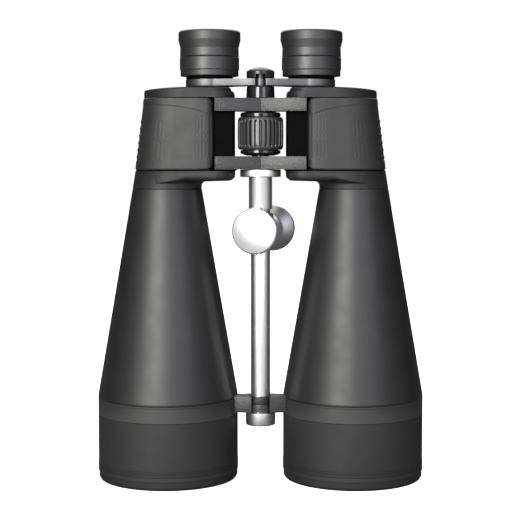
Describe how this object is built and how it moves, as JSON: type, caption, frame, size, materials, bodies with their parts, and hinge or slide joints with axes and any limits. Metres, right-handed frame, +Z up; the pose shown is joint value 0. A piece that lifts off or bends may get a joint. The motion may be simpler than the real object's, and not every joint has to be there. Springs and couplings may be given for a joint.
{
  "type": "astronomy binoculars",
  "caption": "Large Porro prism astronomy binoculars with a folding centre hinge, centre focus wheel, dioptre ring, brace rod and sliding tripod adapter.",
  "frame": {"origin": "centre of the bounding box's base, on the surface that the two objective hoods stand on", "axes": "+Z up from the objectives to the eyepieces, +X towards the right half with the dioptre ring, +Y away from the front where the hinge arms and the lock knob face"},
  "size_m": [0.2292, 0.0988, 0.313],
  "materials": {
    "armour_rubber": "fine grained rubber armour with moulded grip lines",
    "brass": "turned",
    "bright_metal": "bright turned and polished",
    "coated_glass": "polished, multi-coated",
    "eyecup_rubber": "soft matt rubber",
    "gloss_black": "glossy black lacquer",
    "grip_rubber": "ribbed rubber",
    "hood_rubber": "fine moulded rubber armour, semi matt",
    "matt_black": "matt anti-reflection black on aluminium",
    "prism_glass": "polished optical glass",
    "satin_metal": "satin turned",
    "satin_paint": "satin black paint on aluminium",
    "textured_paint": "fine sand-textured dark grey paint on cast aluminium"
  },
  "bodies": {
    "centre": {"hinge_axle": "gloss_black", "axle_socket": "bright_metal", "brace_rod": "bright_metal", "rod_end_cap": "bright_metal"},
    "left_half": {"left_objective_hood": "hood_rubber", "left_objective_tube": "satin_paint", "left_objective_cell": "matt_black", "left_objective_crown_lens": "coated_glass", "left_objective_flint_lens": "coated_glass", "left_lens_retaining_ring": "matt_black", "left_bridge_band": "satin_paint", "left_prism_housing": "matt_black", "left_grip_armour": "armour_rubber", "left_top_cover": "satin_paint", "left_base_plate": "satin_paint", "left_prism_shelf": "satin_metal", "left_upper_prism": "prism_glass", "left_lower_prism": "prism_glass", "left_hinge_arm_upper": "textured_paint", "left_hinge_arm_lower": "textured_paint", "left_eyepiece_guide": "satin_metal"},
    "left_eyepiece": {"left_bridge_arm": "satin_metal", "left_eyepiece_barrel": "matt_black", "left_field_lens": "coated_glass", "left_ocular_cell": "matt_black", "left_eye_lens": "coated_glass", "left_ocular_ring": "eyecup_rubber", "left_eyecup": "eyecup_rubber"},
    "right_half": {"right_objective_hood": "hood_rubber", "right_objective_tube": "satin_paint", "right_objective_cell": "matt_black", "right_objective_crown_lens": "coated_glass", "right_objective_flint_lens": "coated_glass", "right_lens_retaining_ring": "matt_black", "right_bridge_band": "satin_paint", "right_prism_housing": "matt_black", "right_grip_armour": "armour_rubber", "right_top_cover": "satin_paint", "right_base_plate": "satin_paint", "right_prism_shelf": "satin_metal", "right_upper_prism": "prism_glass", "right_lower_prism": "prism_glass", "right_hinge_arm_upper": "textured_paint", "right_hinge_arm_lower": "textured_paint", "right_eyepiece_guide": "satin_metal"},
    "right_eyepiece": {"right_bridge_arm": "satin_metal", "right_eyepiece_barrel": "matt_black", "right_field_lens": "coated_glass"},
    "right_ocular": {"right_ocular_cell": "matt_black", "right_eye_lens": "coated_glass"},
    "dioptre_ring": {"right_dioptre_ring": "eyecup_rubber", "right_eyecup": "eyecup_rubber"},
    "focus_wheel": {"focus_wheel": "gloss_black", "focus_grip": "grip_rubber"},
    "focus_spindle": {"focus_spindle": "bright_metal", "spindle_cap": "gloss_black"},
    "adapter_bush": {"adapter_bush": "brass"},
    "adapter": {"adapter_body": "bright_metal"},
    "clamp_shoe": {"clamp_shoe": "brass"},
    "lock_knob": {"lock_knob": "bright_metal"}
  },
  "joints": [
    {"name": "left_fold", "type": "hinge", "parent": "centre", "child": "left_half", "pos_m": [0, -0.009, 0.24], "axis": [0, 0, -1], "range_deg": [0, 21.3]},
    {"name": "right_fold", "type": "hinge", "parent": "centre", "child": "right_half", "pos_m": [0, -0.009, 0.24], "axis": [0, 0, 1], "range_deg": [0, 21.3]},
    {"name": "focus_turn", "type": "hinge", "parent": "centre", "child": "focus_wheel", "pos_m": [0, -0.009, 0.2418], "axis": [0, 0, 1], "range_deg": [0, 500]},
    {"name": "spindle_rack", "type": "slide", "parent": "centre", "child": "focus_spindle", "axis": [0, 0, 1], "range_m": [0, 0.009]},
    {"name": "left_eyepiece_rack", "type": "slide", "parent": "left_half", "child": "left_eyepiece", "axis": [0, 0, 1], "range_m": [0, 0.009]},
    {"name": "right_eyepiece_rack", "type": "slide", "parent": "right_half", "child": "right_eyepiece", "axis": [0, 0, 1], "range_m": [0, 0.009]},
    {"name": "dioptre_turn", "type": "hinge", "parent": "right_eyepiece", "child": "dioptre_ring", "pos_m": [0.0356, 0.005, 0.29], "axis": [0, 0, 1], "range_deg": [-70, 70]},
    {"name": "dioptre_shift", "type": "slide", "parent": "right_eyepiece", "child": "right_ocular", "axis": [0, 0, 1], "range_m": [-0.0012, 0.0012]},
    {"name": "adapter_slide", "type": "slide", "parent": "centre", "child": "adapter_bush", "axis": [0, 0, 1], "range_m": [-0.02, 0.002]},
    {"name": "adapter_swivel", "type": "hinge", "parent": "adapter_bush", "child": "adapter", "pos_m": [0, -0.009, 0.175], "axis": [0, 0, 1], "range_deg": [0, 30]},
    {"name": "clamp_shoe_travel", "type": "slide", "parent": "adapter", "child": "clamp_shoe", "axis": [-0.2588, -0.9659, 0], "range_m": [0, 0.0015]},
    {"name": "lock_knob_turn", "type": "hinge", "parent": "clamp_shoe", "child": "lock_knob", "pos_m": [-0.00388, -0.02349, 0.175], "axis": [-0.2588, -0.9659, 0], "range_deg": [0, 540]}
  ],
  "couplings": [
    {"joint": "right_fold", "follows": "left_fold", "ratio": 1},
    {"joint": "focus_turn", "follows": "spindle_rack", "rad_per_m": 969.6},
    {"joint": "left_eyepiece_rack", "follows": "spindle_rack", "ratio": 1},
    {"joint": "right_eyepiece_rack", "follows": "spindle_rack", "ratio": 1},
    {"joint": "dioptre_shift", "follows": "dioptre_turn", "m_per_rad": 0.00098},
    {"joint": "clamp_shoe_travel", "follows": "lock_knob_turn", "m_per_rad": 0.000159}
  ]
}
